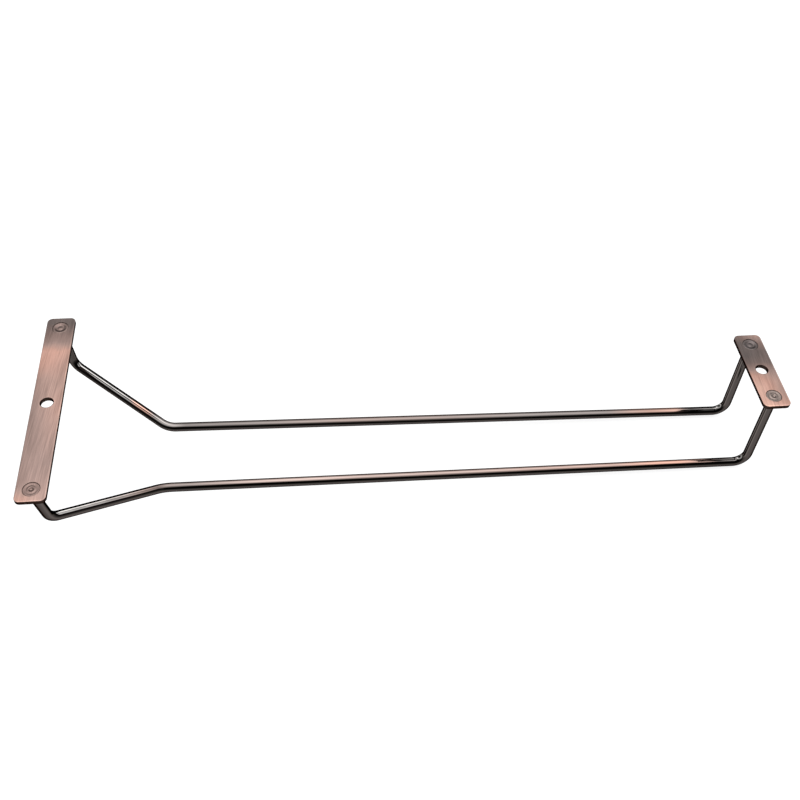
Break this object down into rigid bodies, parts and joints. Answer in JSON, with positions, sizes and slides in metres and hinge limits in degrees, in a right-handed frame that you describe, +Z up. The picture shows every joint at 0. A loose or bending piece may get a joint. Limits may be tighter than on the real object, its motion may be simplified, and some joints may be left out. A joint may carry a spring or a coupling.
{
  "type": "hanging wine glass rack",
  "caption": "Under-shelf rack that hangs wine glasses by their feet between two bent round rods riveted to flat screw-on strap plates, with a flared mouth.",
  "frame": {"origin": "bottom centre of the rack's bounding box, under the rods' lowest point, midway between the plates' screw holes", "axes": "+Y from the wide mouth plate to the narrow rear plate, +X across the rack, +Z up to the shelf that the plates are screwed under"},
  "size_m": [0.11, 0.3462, 0.0508],
  "materials": {
    "antique_copper_plate": "steel strap with brushed antique copper plating, rose to grey brown, brighter on worn edges",
    "dark_bronze_rod": "glossy dark bronze plating on round steel rod, copper tint where it is rubbed"
  },
  "bodies": {
    "root": {"wide_mounting_plate": "antique_copper_plate", "narrow_mounting_plate": "antique_copper_plate", "left_glass_rod": "dark_bronze_rod", "right_glass_rod": "dark_bronze_rod"}
  },
  "joints": []
}
